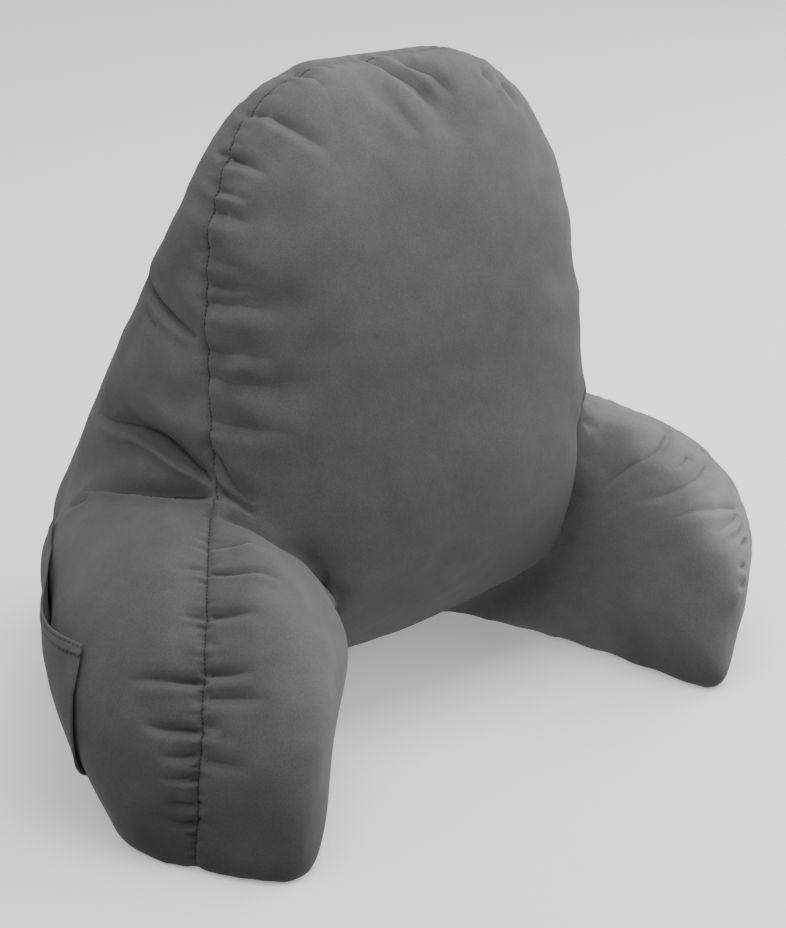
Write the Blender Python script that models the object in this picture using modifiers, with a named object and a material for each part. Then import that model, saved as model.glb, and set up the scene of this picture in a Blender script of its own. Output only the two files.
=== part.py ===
"""Backrest pillow: a stuffed back lobe and two splayed arms in one bag, with a pocket on the left side.

Metres, +Z up, the face towards -Y. The origin is the middle of the bounding box's bottom.
"""
import math

import bmesh
import bpy
import numpy as np

COLLECTION = "backrest_pillow"

# Back lobe: the face panel's seam is an egg-shaped outline on a plane that leans back
FACE_HALF_WIDTH = 0.178
FACE_WIDEST_HEIGHT = 0.21
FACE_TOP = 0.483
FACE_FOOT = -0.02
DOME_ROUNDNESS = 3.25
FOOT_ROUNDNESS = 3.0
LEAN = 0.24
FOOT_SET_BACK = 0.15
CROWN_RISE = 0.072
CROWN_FULLNESS = 0.48
CROWN_OVERHANG = 0.13
CROWN_CENTRE_RISE = 0.03

# Rear panel and the side panel between it and the face
REAR_WIDTH_RATIO = 0.955
REAR_TOP = 0.474
REAR_FOOT = -0.03
REAR_DEPTH_BASE = 0.34
REAR_DEPTH_TOP = 0.084
REAR_DEPTH_CURVE = 0.85
REAR_DEPTH_SPAN = 0.5
REAR_TUCK = 0.085
REAR_TUCK_HEIGHT = 0.14
REAR_CROWN_RISE = 0.032
REAR_FULLNESS = 0.6
SIDE_BULGE = 0.012
SIDE_FULLNESS = 0.8
TOP_STRIP = 0.020
TOP_BLEND = 0.030
SWAY = 0.018
INNERMOST_RING = 0.08
RING_SPACING = 0.9
BELOW_FLOOR = 1.2

# Arms: bolsters whose axis runs along the side of the back and splays at the nose
ARM_RIDGE_HEIGHT = 0.198
ARM_WIDEST_HEIGHT = 0.11
ARM_NOSE_HEIGHT = 0.076
ARM_RIDGE_ROUNDNESS = 1.65
ARM_TOP_ROUNDNESS = 1.7
ARM_NOSE_ROUNDNESS = 4.2
ARM_ROOT_ROUNDNESS = 2.4
ARM_ROOT = 0.232
ARM_ROOT_DROP = 2.6
ARM_ROOT_ANGLE = math.radians(-8)
ARM_FORWARD = -0.013
BASE_DROP = 0.012
UNDERCUT_CURVE = 1.6
ARM_AXIS_AHEAD = 0.25
SHORT_OF_THE_TIP = 0.9995
ARMS = (
    # splay in degrees, outset from the face seam, reach in front of it, nose skew and tuck at the base,
    # inner width, inner base width and inner waist, outer width and outer base width, and how far outside
    # the ridge the seam runs
    {"name": "left", "side": -1, "splay": 40.0, "outset": 0.020, "reach": 0.156, "skew": 0.28,
     "tuck": -0.006, "inner": 0.107, "inner_base": 0.102, "waist": 0.22, "outer": 0.113,
     "outer_base": 0.060, "seam_out": 0.0},
    {"name": "right", "side": 1, "splay": 29.0, "outset": 0.028, "reach": 0.139, "skew": 0.18,
     "tuck": 0.012, "inner": 0.112, "inner_base": 0.098, "waist": 0.56, "outer": 0.096,
     "outer_base": 0.052, "seam_out": 0.012},
)

# Cloth surface
MESH_SIZE = 0.006
FLOOR_BLOCK = 1.5
BLEND_STEPS = 3
TRIANGLE_SHARE = 0.165
SEAM_DEPTH = 0.003
SEAM_WIDTH = 0.008
ROLL_SHARE = 0.3

# Folds: pressed in along a path from the seam they start at, and fading to the far end
FOLDS = (
    # name, path, depth and width in millimetres
    ("dome gather 1", ((-0.118, 0.103, 0.468), (-0.080, 0.061, 0.440)), 6, 8),
    ("dome gather 2", ((-0.143, 0.100, 0.441), (-0.129, 0.067, 0.429)), 5, 7),
    ("dome gather 3", ((-0.160, 0.098, 0.404), (-0.146, 0.061, 0.398)), 4, 8),
    ("face gather 1", ((-0.172, 0.083, 0.350), (-0.135, 0.033, 0.338)), 3, 8),
    ("face gather 2", ((-0.177, 0.074, 0.310), (-0.148, 0.029, 0.307)), 4, 8),
    ("face gather 3", ((-0.180, 0.060, 0.275), (-0.140, 0.015, 0.270)), 3, 8),
    ("face fold 1", ((-0.182, 0.057, 0.235), (-0.172, 0.016, 0.201)), 7, 8),
    ("face fold 2", ((-0.185, 0.045, 0.214), (-0.172, 0.012, 0.195)), 5, 7),
    ("top fold 1", ((0.000, 0.113, 0.492), (0.009, 0.087, 0.484), (0.033, 0.065, 0.454)), 6, 8),
    ("top fold 2", ((0.026, 0.105, 0.491), (0.052, 0.070, 0.461)), 5, 8),
    ("top fold 3", ((0.108, 0.085, 0.463), (0.117, 0.068, 0.442)), 3, 8),
    ("side crease", ((-0.170, 0.165, 0.337), (-0.179, 0.083, 0.311)), 5, 6),
    ("arm root fold", ((-0.184, 0.056, 0.214), (-0.187, 0.110, 0.224),
                       (-0.185, 0.166, 0.222), (-0.165, 0.225, 0.212)), 10, 9),
    ("arm root roll", ((-0.190, 0.042, 0.203), (-0.205, 0.100, 0.190),
                       (-0.213, 0.155, 0.173), (-0.232, 0.190, 0.148)), 8, 9),
    ("left inner 1", ((-0.232, -0.012, 0.183), (-0.194, -0.046, 0.174)), 3, 7),
    ("left inner 2", ((-0.255, -0.035, 0.164), (-0.230, -0.062, 0.166)), 4, 7),
    ("left inner 3", ((-0.279, -0.059, 0.135), (-0.253, -0.089, 0.139)), 5, 8),
    ("left inner 4", ((-0.286, -0.069, 0.118), (-0.254, -0.106, 0.123)), 3, 7),
    ("left inner 5", ((-0.297, -0.083, 0.082), (-0.275, -0.113, 0.085)), 3, 7),
    ("left outer 1", ((-0.256, -0.036, 0.163), (-0.268, -0.024, 0.161)), 3, 7),
    ("left outer 2", ((-0.281, -0.060, 0.134), (-0.312, -0.024, 0.123)), 6, 8),
    ("left outer 3", ((-0.296, -0.075, 0.100), (-0.317, -0.044, 0.098)), 3, 7),
    ("right inner 1", ((0.238, -0.014, 0.178), (0.200, -0.033, 0.179), (0.152, -0.007, 0.158)), 5, 8),
    ("right inner 2", ((0.236, -0.038, 0.166), (0.188, -0.051, 0.168)), 4, 7),
    ("right inner 3", ((0.194, -0.062, 0.160), (0.171, -0.060, 0.150), (0.144, -0.006, 0.141)), 3, 8),
    ("right inner 4", ((0.285, -0.052, 0.124), (0.193, -0.082, 0.148)), 2, 8),
    ("right root fold", ((0.190, 0.060, 0.214), (0.188, 0.115, 0.222), (0.170, 0.200, 0.216)), 8, 9),
)

# Side pocket: a flat patch sewn to the left side panel, its mouth sagging between its top corners
POCKET_FRONT = 0.022
POCKET_REAR = 0.190
POCKET_FRONT_TOP = 0.134
POCKET_REAR_TOP = 0.140
POCKET_FOOT = 0.014
POCKET_SAG = 0.022
POCKET_CORNER = 0.012
POCKET_CLOTH = 0.002
POCKET_GAP = 0.0005
POCKET_CUT = (-0.42, -0.12)

CHARCOAL = (0.105, 0.105, 0.108, 1.0)
POCKET_CHARCOAL = (0.095, 0.095, 0.098, 1.0)
SUEDE_ROUGHNESS = 0.9
MILLIMETRE = 0.001


def clear_scene():
    for item in list(bpy.data.objects):
        bpy.data.objects.remove(item, do_unlink=True)


def signed_power(value, exponent):
    return np.sign(value) * np.abs(value) ** exponent


def egg_outline(angle, half_width, top, foot):
    """Closed outline round the widest height: a dome above it and a rounder foot below."""
    roundness = np.where(np.sin(angle) >= 0, DOME_ROUNDNESS, FOOT_ROUNDNESS)
    reach = np.where(np.sin(angle) >= 0, top - FACE_WIDEST_HEIGHT, FACE_WIDEST_HEIGHT - foot)
    x = half_width * signed_power(np.cos(angle), 2 / roundness)
    z = FACE_WIDEST_HEIGHT + reach * signed_power(np.sin(angle), 2 / roundness)
    return x, z


def face_depth(z):
    """Depth of the face seam's plane, which curves back towards the foot."""
    drop = np.clip(1 - z / FACE_WIDEST_HEIGHT, 0, BELOW_FLOOR)
    return LEAN * z + FOOT_SET_BACK * drop ** 2


def rear_depth(z):
    """Depth of the rear panel's seam, which slants out downwards and tucks in at the base."""
    share = np.clip(z / REAR_DEPTH_SPAN, 0, 1) ** REAR_DEPTH_CURVE
    tuck = REAR_TUCK * np.clip(1 - z / REAR_TUCK_HEIGHT, 0, BELOW_FLOOR) ** 2
    slant = REAR_DEPTH_BASE + (REAR_DEPTH_TOP - REAR_DEPTH_BASE) * share - tuck
    apart = slant - face_depth(z) - TOP_STRIP
    return face_depth(z) + TOP_STRIP + (apart + np.sqrt(apart ** 2 + TOP_BLEND ** 2)) / 2


def back_rings(points=96, crown_rings=14, side_rings=8, rear_rings=8):
    """Rings from the middle of the face over the seam and the side panel to the middle of the rear."""
    angle = np.linspace(0, 2 * math.pi, points, endpoint=False)
    front_x, front_z = egg_outline(angle, FACE_HALF_WIDTH, FACE_TOP, FACE_FOOT)
    rear_x, rear_z = egg_outline(angle, FACE_HALF_WIDTH * REAR_WIDTH_RATIO, REAR_TOP, REAR_FOOT)
    front_y = face_depth(front_z)
    rear_y = rear_depth(rear_z)
    centre = FACE_WIDEST_HEIGHT + CROWN_CENTRE_RISE
    rings = []
    for step in np.linspace(INNERMOST_RING, 1, crown_rings):
        share = math.sin(step * math.pi / 2) ** RING_SPACING
        inside = max(0.0, 1 - share ** 2)
        spread = share * (1 + 2 * CROWN_OVERHANG * share ** 3 * math.sqrt(inside))
        x = front_x * spread
        z = centre + (front_z - centre) * spread
        y = face_depth(z) - CROWN_RISE * inside ** CROWN_FULLNESS
        rings.append(np.stack([x, y, z], 1))
    for step in np.linspace(0, 1, side_rings + 2)[1:-1]:
        swell = SIDE_BULGE * math.sin(math.pi * step) ** SIDE_FULLNESS
        x = front_x + (rear_x - front_x) * step + swell * np.cos(angle)
        y = front_y + (rear_y - front_y) * step
        z = front_z + (rear_z - front_z) * step + swell * np.sin(angle)
        rings.append(np.stack([x, y, z], 1))
    for step in np.linspace(1, INNERMOST_RING, rear_rings):
        share = math.sin(step * math.pi / 2) ** RING_SPACING
        x = rear_x * share
        z = centre + (rear_z - centre) * share
        y = rear_depth(z) + REAR_CROWN_RISE * max(0.0, 1 - share ** 2) ** REAR_FULLNESS
        rings.append(np.stack([x, y, z], 1))
    rings = np.array(rings)
    rings[..., 0] += SWAY * (rings[..., 2] - FACE_WIDEST_HEIGHT)
    rings[..., 2] = np.maximum(rings[..., 2], -BASE_DROP)
    return rings


def arm_axis(arm, steps=240):
    """Plan curve of an arm's axis: it turns from along the side to the splay, and is straight in front."""
    side = arm["side"]
    splay = math.radians(arm["splay"])
    along = np.linspace(-ARM_ROOT, ARM_AXIS_AHEAD, steps)
    share = np.clip(-along / ARM_ROOT, 0, 1)
    angle = splay + (ARM_ROOT_ANGLE - splay) * share
    step = np.stack([side * np.sin(angle), -np.cos(angle)], 1) * (along[1] - along[0])
    path = np.cumsum(step, 0)
    path -= path[np.abs(along).argmin()]
    start = np.array([side * (FACE_HALF_WIDTH + arm["outset"]), LEAN * ARM_RIDGE_HEIGHT + ARM_FORWARD])

    def at(distance):
        turn = np.interp(distance, along, angle)
        place = np.stack([np.interp(distance, along, path[:, k]) for k in (0, 1)], 1) + start
        across = np.stack([side * np.cos(turn), np.sin(turn)], 1)
        return place, across

    return at


def nose_reach(arm, z):
    """How far the seam down an arm's nose stands in front of the face seam at a height."""
    above = max(0.0, (z - ARM_NOSE_HEIGHT) / (ARM_RIDGE_HEIGHT - ARM_NOSE_HEIGHT))
    reach = arm["reach"] * (1 - above ** ARM_RIDGE_ROUNDNESS) ** (1 / ARM_RIDGE_ROUNDNESS)
    return reach - arm["tuck"] * np.clip(1 - z / ARM_NOSE_HEIGHT, 0, 1)


def root_reach(z):
    """How far an arm runs back from the face seam at a height: its top falls away towards the rear."""
    above = max(0.0, (z - ARM_NOSE_HEIGHT) / (ARM_RIDGE_HEIGHT - ARM_NOSE_HEIGHT))
    return ARM_ROOT * (1 - above ** ARM_ROOT_DROP) ** (1 / ARM_ROOT_DROP)


def arm_rings(arm, low_rings=7, high_rings=15, along=26):
    """Level slices of an arm, each a long plan outline from the root to the nose and back."""
    at = arm_axis(arm)
    low = np.linspace(-BASE_DROP, ARM_NOSE_HEIGHT, low_rings)[:-1]
    climb = np.sin(np.linspace(0, math.pi / 2, high_rings)) * SHORT_OF_THE_TIP
    heights = np.concatenate([low, ARM_NOSE_HEIGHT + (ARM_RIDGE_HEIGHT - ARM_NOSE_HEIGHT) * climb])
    run = np.sin(np.linspace(-math.pi / 2, math.pi / 2, along)) * SHORT_OF_THE_TIP
    roundness = np.where(run > 0, ARM_NOSE_ROUNDNESS, ARM_ROOT_ROUNDNESS)
    pinch = (1 - np.abs(run) ** roundness) ** (1 / roundness)
    rings = []
    for z in heights:
        nose = nose_reach(arm, z)
        dome = max(0.0, (z - ARM_WIDEST_HEIGHT) / (ARM_RIDGE_HEIGHT - ARM_WIDEST_HEIGHT))
        dome = (1 - dome ** ARM_TOP_ROUNDNESS) ** (1 / ARM_TOP_ROUNDNESS)
        under = np.clip(1 - z / ARM_WIDEST_HEIGHT, 0, 1) ** UNDERCUT_CURVE
        inner = (arm["inner"] + (arm["inner_base"] - arm["inner"]) * under) * dome * pinch
        outer = (arm["outer"] + (arm["outer_base"] - arm["outer"]) * under) * dome * pinch
        root = root_reach(z)
        distance = (nose - root) / 2 + (nose + root) / 2 * run
        inner = inner * (1 - arm["waist"] * np.sin(math.pi * (1 - run) / 2))
        lead = arm["skew"] * np.clip((run + 1) / 2, 0, 1) ** 2
        place, across = at(distance + lead * inner)
        inside = place - inner[:, None] * across
        place, across = at(distance - lead * outer)
        outside = (place + outer[:, None] * across)[::-1]
        plan = np.concatenate([inside, outside])
        rings.append(np.column_stack([plan, np.full(len(plan), z)]))
    return np.array(rings)


def loft(name, rings, collection):
    """Closed skin through a stack of unlike rings, capped at both ends."""
    mesh = bpy.data.meshes.new(name)
    shape = bmesh.new()
    rows = [[shape.verts.new(point) for point in ring] for ring in rings]
    count = len(rows[0])
    for first, second in zip(rows, rows[1:]):
        for k in range(count):
            shape.faces.new((first[k], first[(k + 1) % count], second[(k + 1) % count], second[k]))
    shape.faces.new(rows[0])
    shape.faces.new(rows[-1])
    bmesh.ops.triangulate(shape, faces=[face for face in shape.faces if len(face.verts) > 4])
    bmesh.ops.recalc_face_normals(shape, faces=shape.faces)
    shape.to_mesh(mesh)
    shape.free()
    item = bpy.data.objects.new(name, mesh)
    collection.objects.link(item)
    return item


def face_seam(points=120):
    """The seam between the face and the side panels, from arm to arm over the dome."""
    angle = np.linspace(0, math.pi, points)
    x, z = egg_outline(angle, FACE_HALF_WIDTH, FACE_TOP, FACE_FOOT)
    return np.stack([x + SWAY * (z - FACE_WIDEST_HEIGHT), face_depth(z), z], 1)


def arm_seam(arm, points=60):
    """The seam along an arm's ridge and down its nose to the floor."""
    at = arm_axis(arm)
    heights = ARM_RIDGE_HEIGHT * SHORT_OF_THE_TIP * np.sin(np.linspace(0, math.pi / 2, points))
    reach = np.array([nose_reach(arm, z) for z in heights])
    place, across = at(reach)
    return np.column_stack([place + arm["seam_out"] * across, heights])


def material(name, colour):
    item = bpy.data.materials.new(name)
    item.use_nodes = True
    shader = item.node_tree.nodes["Principled BSDF"]
    shader.inputs["Base Color"].default_value = colour
    shader.inputs["Roughness"].default_value = SUEDE_ROUGHNESS
    shader.inputs["Metallic"].default_value = 0.0
    return item


def guide(item):
    item.hide_render = True
    item.display_type = "WIRE"
    return item


def evaluated_copy(item, name, collection):
    """A new mesh object holding another object's mesh with its modifiers worked out."""
    graph = bpy.context.evaluated_depsgraph_get()
    mesh = bpy.data.meshes.new_from_object(item.evaluated_get(graph))
    copy = bpy.data.objects.new(name, mesh)
    collection.objects.link(copy)
    return copy


def nearest_on_path(points, path):
    """Distance of each point to a path, and how far along the path its nearest place lies, from 0 to 1."""
    path = np.array(path)
    lengths = np.linalg.norm(np.diff(path, axis=0), axis=1)
    start = np.concatenate([[0], np.cumsum(lengths)])
    best = np.full(len(points), np.inf)
    along = np.zeros(len(points))
    for k, (a, b) in enumerate(zip(path, path[1:])):
        share = np.clip((points - a) @ (b - a) / lengths[k] ** 2, 0, 1)
        distance = np.linalg.norm(points - (a + share[:, None] * (b - a)), axis=1)
        closer = distance < best
        best = np.where(closer, distance, best)
        along = np.where(closer, (start[k] + share * lengths[k]) / start[-1], along)
    return best, along


def press(distance, depth, width, roll_share):
    """Cross section of a fold: a rounded trough with a low roll on both sides."""
    trough = np.exp(-(distance / width) ** 2)
    roll = roll_share * np.exp(-((distance - 2 * width) / width) ** 2)
    return depth * (roll - trough)


def press_folds(mesh):
    """Moves the mesh's points along their normals to the seams and folds."""
    points = np.array([vertex.co for vertex in mesh.vertices])
    normals = np.array([vertex.normal for vertex in mesh.vertices])
    move = np.zeros(len(points))
    for seam in [face_seam()] + [arm_seam(arm) for arm in ARMS]:
        distance, along = nearest_on_path(points, seam)
        move += press(distance, SEAM_DEPTH, SEAM_WIDTH, 0)
    for name, path, depth, width in FOLDS:
        distance, along = nearest_on_path(points, path)
        move += press(distance, depth * MILLIMETRE * (1 - along ** 2), width * MILLIMETRE, ROLL_SHARE)
    points += normals * move[:, None]
    mesh.vertices.foreach_set("co", points.ravel())
    mesh.update()


def join_lobes(collection):
    joined = bmesh.new()
    lobes = [loft("back_lobe", back_rings(), collection)]
    lobes += [loft("arm_lobe_" + arm["name"], arm_rings(arm), collection) for arm in ARMS]
    for lobe in lobes:
        joined.from_mesh(guide(lobe).data)
    mesh = bpy.data.meshes.new("joined_lobes")
    joined.to_mesh(mesh)
    joined.free()
    item = bpy.data.objects.new("joined_lobes", mesh)
    collection.objects.link(item)
    return guide(item)


def build_body(parts, guides):
    """The stuffed bag: the lobes grown into one skin, folded, thinned out and cut flat at the floor."""
    lobes = join_lobes(guides)
    remesh = lobes.modifiers.new("one skin", "REMESH")
    remesh.mode = "VOXEL"
    remesh.voxel_size = MESH_SIZE
    smooth = lobes.modifiers.new("blend", "SMOOTH")
    smooth.factor = 0.5
    smooth.iterations = BLEND_STEPS
    body = evaluated_copy(lobes, "pillow_body", parts)
    press_folds(body.data)
    thin = body.modifiers.new("fewer faces", "DECIMATE")
    thin.ratio = TRIANGLE_SHARE
    bpy.ops.mesh.primitive_cube_add(size=FLOOR_BLOCK, location=(0, 0, -FLOOR_BLOCK / 2))
    floor = guide(bpy.context.object)
    floor.name = "below_the_floor"
    cut = body.modifiers.new("flat base", "BOOLEAN")
    cut.operation = "DIFFERENCE"
    cut.object = floor
    body.data.materials.append(material("charcoal_suede", CHARCOAL))
    return body


def pocket_outline(points=13):
    """The pocket's outline in side view: sagging mouth, upright ends, straight foot, all as (y, z)."""
    share = np.linspace(0, 1, points)
    y = POCKET_FRONT + (POCKET_REAR - POCKET_FRONT) * share
    z = POCKET_FRONT_TOP + (POCKET_REAR_TOP - POCKET_FRONT_TOP) * share
    z = z - POCKET_SAG * np.sin(math.pi * share)
    mouth = list(zip(y, z))
    foot = [(POCKET_REAR, POCKET_FOOT), (POCKET_FRONT + POCKET_CORNER, POCKET_FOOT)]
    return mouth + foot + [(POCKET_FRONT, POCKET_FOOT + POCKET_CORNER)]


def offset_skin(body, name, distance, collection):
    """A copy of the body's finished skin moved out by a distance."""
    skin = guide(evaluated_copy(body, name, collection))
    normals = np.array([vertex.normal for vertex in skin.data.vertices])
    points = np.array([vertex.co for vertex in skin.data.vertices]) + normals * distance
    skin.data.vertices.foreach_set("co", points.ravel())
    skin.data.update()
    return skin


def build_pocket(body, parts, guides):
    """The patch: the layer between two offset skins of the body, inside the outline's prism."""
    rings = [[(x, y, z) for y, z in pocket_outline()] for x in POCKET_CUT]
    pocket = loft("side_pocket", rings, parts)
    outer = offset_skin(body, "pocket_outside", POCKET_GAP + POCKET_CLOTH, guides)
    inner = offset_skin(body, "pocket_inside", POCKET_GAP, guides)
    for operation, skin in (("INTERSECT", outer), ("DIFFERENCE", inner)):
        cut = pocket.modifiers.new(operation.lower(), "BOOLEAN")
        cut.operation = operation
        cut.object = skin
    pocket.data.materials.append(material("pocket_suede", POCKET_CHARCOAL))
    return pocket


def centre_on_origin(body):
    """Moves everything alike, so that the origin is the middle of the bounding box's bottom."""
    graph = bpy.context.evaluated_depsgraph_get()
    shape = body.evaluated_get(graph)
    points = np.array([vertex.co for vertex in shape.to_mesh().vertices])
    middle = (points.min(0) + points.max(0)) / 2
    for item in bpy.data.objects:
        item.location.x -= middle[0]
        item.location.y -= middle[1]


clear_scene()
parts = bpy.data.collections.new(COLLECTION)
guides = bpy.data.collections.new("guides")
for group in (parts, guides):
    bpy.context.scene.collection.children.link(group)
body = build_body(parts, guides)
build_pocket(body, parts, guides)
centre_on_origin(body)
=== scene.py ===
# %% [markdown]
# # A stuffed backrest pillow
# The object is a bed-rest pillow: a tall rounded back with two splayed arms, all sewn as one bag from
# soft short-napped suede cloth and filled with loose fibre. A flat pocket is sewn to its left side.
# The imported model gives the true size and the main forms. This script dresses it: it lets the cloth
# swell over its filling, sews the seams, presses in the gathers, adds the pocket, and paints shade in the
# folds and light and shade on the panels into the cloth's colour.

import math

import bmesh
import bpy
import numpy as np
from mathutils import Matrix, Vector
from mathutils.bvhtree import BVHTree


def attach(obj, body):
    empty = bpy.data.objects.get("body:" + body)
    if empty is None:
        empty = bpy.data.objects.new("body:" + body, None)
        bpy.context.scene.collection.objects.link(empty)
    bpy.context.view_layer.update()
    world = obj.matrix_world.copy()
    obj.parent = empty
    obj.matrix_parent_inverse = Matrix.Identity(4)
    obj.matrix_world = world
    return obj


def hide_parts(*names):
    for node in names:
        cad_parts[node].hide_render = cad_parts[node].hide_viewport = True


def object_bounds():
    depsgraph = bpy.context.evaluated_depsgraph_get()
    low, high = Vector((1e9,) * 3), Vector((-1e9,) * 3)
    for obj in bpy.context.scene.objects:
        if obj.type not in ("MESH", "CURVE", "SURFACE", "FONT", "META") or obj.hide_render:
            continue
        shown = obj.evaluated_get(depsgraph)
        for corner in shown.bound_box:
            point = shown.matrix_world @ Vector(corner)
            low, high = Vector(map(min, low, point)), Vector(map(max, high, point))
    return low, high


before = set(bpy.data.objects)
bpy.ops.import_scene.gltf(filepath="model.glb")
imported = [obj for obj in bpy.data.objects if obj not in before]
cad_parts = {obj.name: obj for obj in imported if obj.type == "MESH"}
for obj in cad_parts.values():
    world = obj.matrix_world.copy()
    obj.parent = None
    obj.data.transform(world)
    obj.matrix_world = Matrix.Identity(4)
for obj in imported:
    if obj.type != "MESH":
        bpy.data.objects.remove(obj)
cad_box = [list(map(float, corner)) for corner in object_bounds()]
scene = bpy.context.scene
MM = 0.001
print("CAD box", cad_box)

# %% [markdown]
# ## Camera
# The pillow was photographed from its front left and a little above, with a long lens. The camera is
# placed by the direction it looks from, its distance, the point that it aims at, and a small roll.

# %% Camera
DRAWING_SHIFT = Vector((0.00707, -0.07835, 0.0))
CAMERA_SIDE = math.radians(44.99)
CAMERA_RISE = math.radians(21.353)
CAMERA_ROLL = math.radians(3.97)
CAMERA_DISTANCE = 2.081
CAMERA_AIM = (-0.0385, -0.0472)
CAMERA_LENS = 108.62
SENSOR_WIDTH = 36
FARTHEST_SEEN = 50
AIM_HEIGHT = 0.25


def camera_matrix():
    """The camera's place and its right, up and backward directions."""
    up_axis = Vector((0, 0, 1))
    level = math.cos(CAMERA_RISE)
    sideways, forwards = math.sin(CAMERA_SIDE), math.cos(CAMERA_SIDE)
    back = Vector((-sideways * level, -forwards * level, math.sin(CAMERA_RISE)))
    centre = Vector((0, 0, AIM_HEIGHT))
    place = centre + back * CAMERA_DISTANCE
    right = (-back).cross(up_axis).normalized()
    up = right.cross(-back)
    aim = centre + right * CAMERA_AIM[0] + up * CAMERA_AIM[1]
    forward = (aim - place).normalized()
    right = forward.cross(up_axis).normalized()
    up = right.cross(forward)
    turn, rise = math.cos(CAMERA_ROLL), math.sin(CAMERA_ROLL)
    right, up = right * turn + up * rise, up * turn - right * rise
    matrix = Matrix((right, up, -forward)).transposed().to_4x4()
    matrix.translation = place + DRAWING_SHIFT
    return matrix


camera = bpy.data.objects.new("camera", bpy.data.cameras.new("camera"))
camera.matrix_world = camera_matrix()
camera.data.lens = CAMERA_LENS
camera.data.sensor_width = SENSOR_WIDTH
camera.data.clip_end = FARTHEST_SEEN
scene.collection.objects.link(camera)
scene.camera = camera
print("camera at", [round(value, 3) for value in camera.matrix_world.translation])

# %% [markdown]
# ## Floor and light
# The light is soft, and stronger from above and from the right, so that the top of the back and the tops
# of the arms are palest and the left edge of the face falls away. Four large panels do this over an even
# sky. The floor is pale and glows faintly by itself, but it sends no light back up, so the undersides stay
# dark.

# %% Floor and light
FLOOR_SIZE = 12.0
FLOOR_COLOUR = (0.86, 0.86, 0.86, 1)
FLOOR_ROUGHNESS = 0.9
FLOOR_GLOW = 0.30
WHITE = (1, 1, 1, 1)
SKY_STRENGTH = 0.46
PANEL_SIZE = 1.4
PANEL_AIM = Vector((0, 0, 0.2))
PANELS = (
    # name, place, watts
    ("top_panel", (0.0, -0.2, 2.8), 39.0),
    ("top_left_panel", (-1.6, -0.2, 2.2), 18.0),
    ("right_panel", (1.5, -1.6, 1.3), 26.0),
    ("far_right_panel", (2.4, -0.2, 1.3), 50.0),
)


floor_mesh = bpy.data.meshes.new("floor")
shape = bmesh.new()
bmesh.ops.create_grid(shape, x_segments=1, y_segments=1, size=FLOOR_SIZE / 2)
shape.to_mesh(floor_mesh)
shape.free()
floor = bpy.data.objects.new("floor", floor_mesh)
pale_floor = bpy.data.materials.new("pale_floor")
pale_floor.use_nodes = True
floor_shader = pale_floor.node_tree.nodes["Principled BSDF"]
floor_shader.inputs["Base Color"].default_value = FLOOR_COLOUR
floor_shader.inputs["Roughness"].default_value = FLOOR_ROUGHNESS
floor_shader.inputs["Emission Color"].default_value = WHITE
floor_shader.inputs["Emission Strength"].default_value = FLOOR_GLOW
floor.data.materials.append(pale_floor)
floor.visible_diffuse = False
scene.collection.objects.link(floor)

for name, place, watts in PANELS:
    light = bpy.data.objects.new(name, bpy.data.lights.new(name, "AREA"))
    light.data.size = PANEL_SIZE
    light.data.energy = watts
    light.location = place
    light.rotation_euler = (PANEL_AIM - light.location).to_track_quat("-Z", "Y").to_euler()
    scene.collection.objects.link(light)

world = bpy.data.worlds.new("soft_sky")
world.use_nodes = True
world.node_tree.nodes["Background"].inputs["Color"].default_value = WHITE
world.node_tree.nodes["Background"].inputs["Strength"].default_value = SKY_STRENGTH
scene.world = world
print("floor and", len(PANELS), "light panels")

# %% [markdown]
# ## Mesh helpers
# The cloth is worked as a plain array of points. These helpers take a mesh's points out and put them back,
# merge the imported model's loose triangles, bake modifiers, and smooth a surface by averaging neighbours.

# %% Mesh helpers
MERGE_DISTANCE = 0.00001
STEP_IN = 0.5
STEP_OUT = -0.53


def points_of(mesh):
    flat = np.empty(len(mesh.vertices) * 3)
    mesh.vertices.foreach_get("co", flat)
    return flat.reshape(-1, 3)


def normals_of(mesh):
    flat = np.empty(len(mesh.vertices) * 3)
    mesh.vertices.foreach_get("normal", flat)
    return flat.reshape(-1, 3)


def set_points(mesh, points):
    mesh.vertices.foreach_set("co", points.ravel())
    mesh.update()


def merged_copy(node, name):
    """A new object with a node's mesh, its doubled corner points merged."""
    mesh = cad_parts[node].data.copy()
    mesh.name = name
    work = bmesh.new()
    work.from_mesh(mesh)
    bmesh.ops.remove_doubles(work, verts=work.verts, dist=MERGE_DISTANCE)
    work.to_mesh(mesh)
    work.free()
    mesh.materials.clear()
    piece = bpy.data.objects.new(name, mesh)
    scene.collection.objects.link(piece)
    return piece


def bake_modifiers(piece):
    """Replaces a piece's mesh by what its modifiers make of it."""
    graph = bpy.context.evaluated_depsgraph_get()
    mesh = bpy.data.meshes.new_from_object(piece.evaluated_get(graph))
    piece.modifiers.clear()
    piece.data = mesh
    return mesh


def smoothed(points, mesh, steps, amount=STEP_IN):
    """Moves each point towards the middle of its neighbours, a few times."""
    edges = np.empty(len(mesh.edges) * 2, dtype=np.int64)
    mesh.edges.foreach_get("vertices", edges)
    edges = edges.reshape(-1, 2)
    count = np.bincount(edges.ravel(), minlength=len(points))[:, None]
    for _ in range(steps):
        total = np.zeros_like(points)
        for axis in range(3):
            total[:, axis] += np.bincount(edges[:, 0], points[edges[:, 1], axis], len(points))
            total[:, axis] += np.bincount(edges[:, 1], points[edges[:, 0], axis], len(points))
        points = points + (total / count - points) * amount
    return points


def faired(points, mesh, rounds):
    """Evens out small bumps without shrinking: a slightly longer outward step follows each inward one."""
    for _ in range(rounds):
        points = smoothed(points, mesh, 1, STEP_IN)
        points = smoothed(points, mesh, 1, STEP_OUT)
    return points


# %% [markdown]
# ## Seam lines
# Three seams show. One runs round the face panel from arm to arm over the top, and the other two along the
# ridges of the arms and down their noses. Mostly the same named sizes as in the part's source give their
# lines. The right arm's seam lies farther out than there, at the outline that the photographed pillow has,
# and at the left the face's seam runs down over the join to the top of the arm.

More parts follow.
